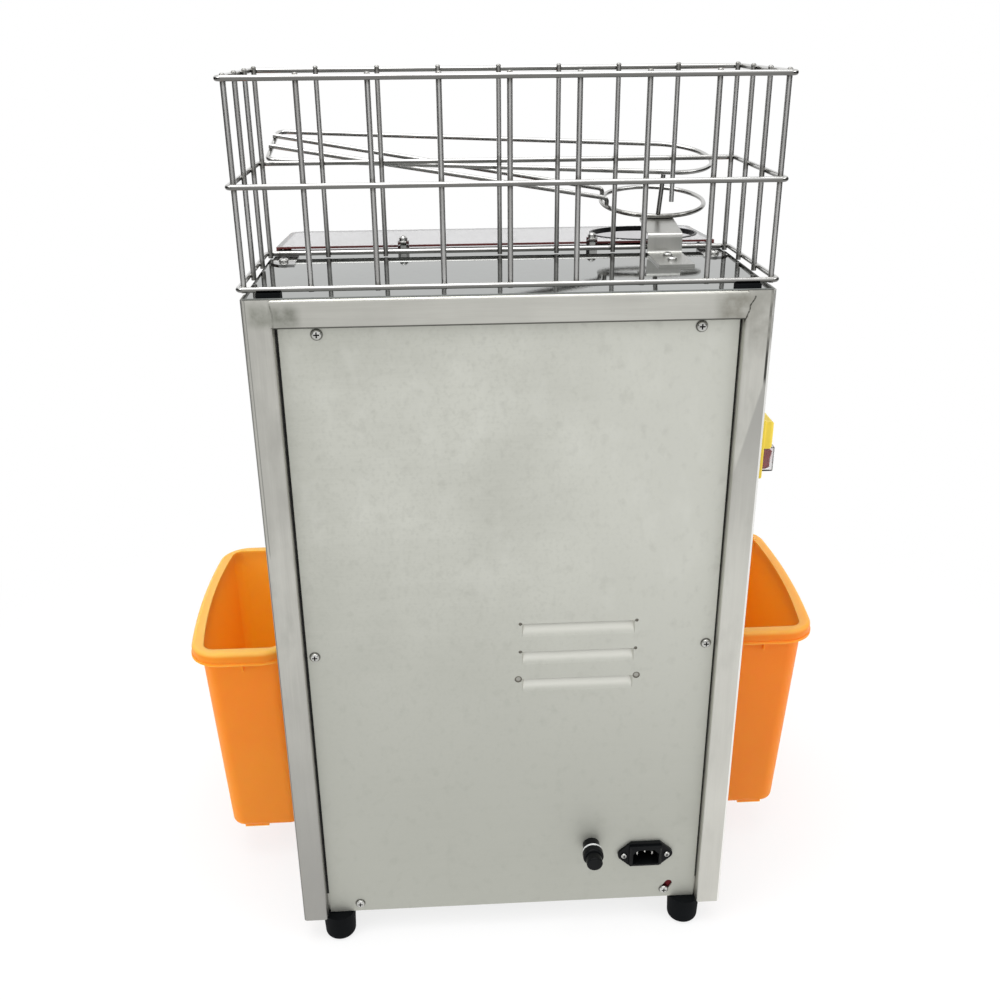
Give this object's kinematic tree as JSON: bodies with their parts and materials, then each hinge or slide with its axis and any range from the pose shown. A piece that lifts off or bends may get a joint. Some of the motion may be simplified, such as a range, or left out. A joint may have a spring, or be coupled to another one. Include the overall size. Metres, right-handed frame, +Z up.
{
  "type": "automatic orange juicer",
  "caption": "Free-standing orange juicer: steel cabinet, wire fruit basket and feeder on top, geared cup and ball drums under a clear hood, juice tank with tap, peel bin on each side.",
  "frame": {"origin": "centre of the bounding box's underside, on the table", "axes": "+Z up, -Y towards the front with the hood and tap, +X to the right of a person who faces the front"},
  "size_m": [0.602, 0.3397, 0.7601],
  "materials": {
    "stainless": "satin, faintly streaked",
    "mirror_sheet": "mirror polished",
    "bright_wire": "polished",
    "bright_fastener": "polished",
    "inner_steel": "plain",
    "foot_rubber": "matt",
    "black_plastic": "satin",
    "yellow_plastic": "satin",
    "dark_red_plastic": "gloss",
    "clear_plastic": "clear",
    "orange_plastic": "satin",
    "drum_plastic": "satin",
    "red_rubber": "matt",
    "nylon": "satin",
    "bronze": "plain",
    "motor_paint": "satin",
    "cast_aluminium": "cast"
  },
  "bodies": {
    "cabinet": {"frame_posts": "stainless", "frame_rails": "stainless", "panel_strips": "inner_steel", "rear_panel": "stainless", "side_panels": "stainless", "top_plate": "mirror_sheet", "chamber_wall": "stainless", "base_plate": "inner_steel", "rubber_feet": "foot_rubber", "rear_screws": "bright_fastener", "top_screws": "bright_fastener", "acorn_nuts": "bright_fastener", "inlet_socket": "black_plastic", "inlet_pins": "bright_fastener", "fuse_holder": "black_plastic", "switch_plate": "yellow_plastic", "switch_cover": "clear_plastic", "basket_rings": "bright_wire", "basket_rods": "bright_wire", "basket_tabs": "stainless", "basket_pads": "foot_rubber", "feeder_bracket": "stainless", "feeder_ring": "bright_wire", "feeder_rails": "bright_wire", "feeder_guard": "bright_wire", "gear_plate": "inner_steel", "plate_posts": "inner_steel", "bearings": "bronze", "gearbox": "cast_aluminium", "motor": "motor_paint", "knife": "inner_steel", "peel_ejectors": "stainless", "feed_trough": "stainless", "tank_rails": "stainless", "bin_hangers": "stainless"},
    "fuse_cap": {"fuse_cap": "black_plastic"},
    "switch_rocker": {"switch_rocker": "dark_red_plastic"},
    "drive_pinion": {"drive_pinion": "inner_steel"},
    "juice_tank": {"juice_tank": "stainless", "strainer": "stainless", "tap_body": "bright_fastener"},
    "tap_lever": {"tap_lever": "black_plastic"},
    "left_bin": {"left_bin": "orange_plastic"},
    "right_bin": {"right_bin": "orange_plastic"},
    "hood": {"hood": "clear_plastic", "feed_throat": "black_plastic", "hood_seal": "red_rubber"},
    "upper_left": {"upper_left_drum": "drum_plastic", "upper_left_shaft": "inner_steel", "upper_left_gear": "nylon"},
    "upper_right": {"upper_right_drum": "drum_plastic", "upper_right_shaft": "inner_steel", "upper_right_gear": "nylon"},
    "lower_left": {"lower_left_drum": "drum_plastic", "lower_left_shaft": "inner_steel", "lower_left_gear": "nylon"},
    "lower_right": {"lower_right_drum": "drum_plastic", "lower_right_shaft": "inner_steel", "lower_right_gear": "nylon"}
  },
  "joints": [
    {"name": "upper_left_spin", "type": "hinge", "parent": "cabinet", "child": "upper_left", "pos_m": [-0.052, -0.08385, 0.422], "axis": [0, 1, 0], "continuous": true},
    {"name": "upper_right_spin", "type": "hinge", "parent": "cabinet", "child": "upper_right", "pos_m": [0.052, -0.08385, 0.422], "axis": [0, 1, 0], "continuous": true},
    {"name": "lower_left_spin", "type": "hinge", "parent": "cabinet", "child": "lower_left", "pos_m": [-0.086, -0.08385, 0.32371], "axis": [0, 1, 0], "continuous": true},
    {"name": "lower_right_spin", "type": "hinge", "parent": "cabinet", "child": "lower_right", "pos_m": [0.086, -0.08385, 0.32371], "axis": [0, 1, 0], "continuous": true},
    {"name": "pinion_spin", "type": "hinge", "parent": "cabinet", "child": "drive_pinion", "pos_m": [-0.04015, 0.00215, 0.26061], "axis": [0, 1, 0], "continuous": true},
    {"name": "hood_slide", "type": "slide", "parent": "cabinet", "child": "hood", "axis": [0, -1, 0], "range_m": [0, 0.13]},
    {"name": "tank_slide", "type": "slide", "parent": "cabinet", "child": "juice_tank", "axis": [0, -1, 0], "range_m": [0, 0.12]},
    {"name": "tap_turn", "type": "hinge", "parent": "juice_tank", "child": "tap_lever", "pos_m": [0, -0.15985, 0.17872], "axis": [0, 0, 1], "range_deg": [-90, 0]},
    {"name": "left_bin_lift", "type": "slide", "parent": "cabinet", "child": "left_bin", "axis": [0, 0, 1], "range_m": [0, 0.25]},
    {"name": "right_bin_lift", "type": "slide", "parent": "cabinet", "child": "right_bin", "axis": [0, 0, 1], "range_m": [0, 0.25]},
    {"name": "rocker_tip", "type": "hinge", "parent": "cabinet", "child": "switch_rocker", "pos_m": [-0.2104, 0.09715, 0.4596], "axis": [0, 1, 0], "range_deg": [0, 10]},
    {"name": "fuse_cap_turn", "type": "hinge", "parent": "cabinet", "child": "fuse_cap", "pos_m": [-0.0725, 0.15315, 0.094], "axis": [0, 1, 0], "range_deg": [0, 90]}
  ],
  "couplings": [
    {"joint": "upper_right_spin", "follows": "upper_left_spin", "ratio": -1},
    {"joint": "lower_left_spin", "follows": "upper_left_spin", "ratio": -1},
    {"joint": "lower_right_spin", "follows": "upper_left_spin", "ratio": 1},
    {"joint": "pinion_spin", "follows": "upper_left_spin", "ratio": 2}
  ]
}
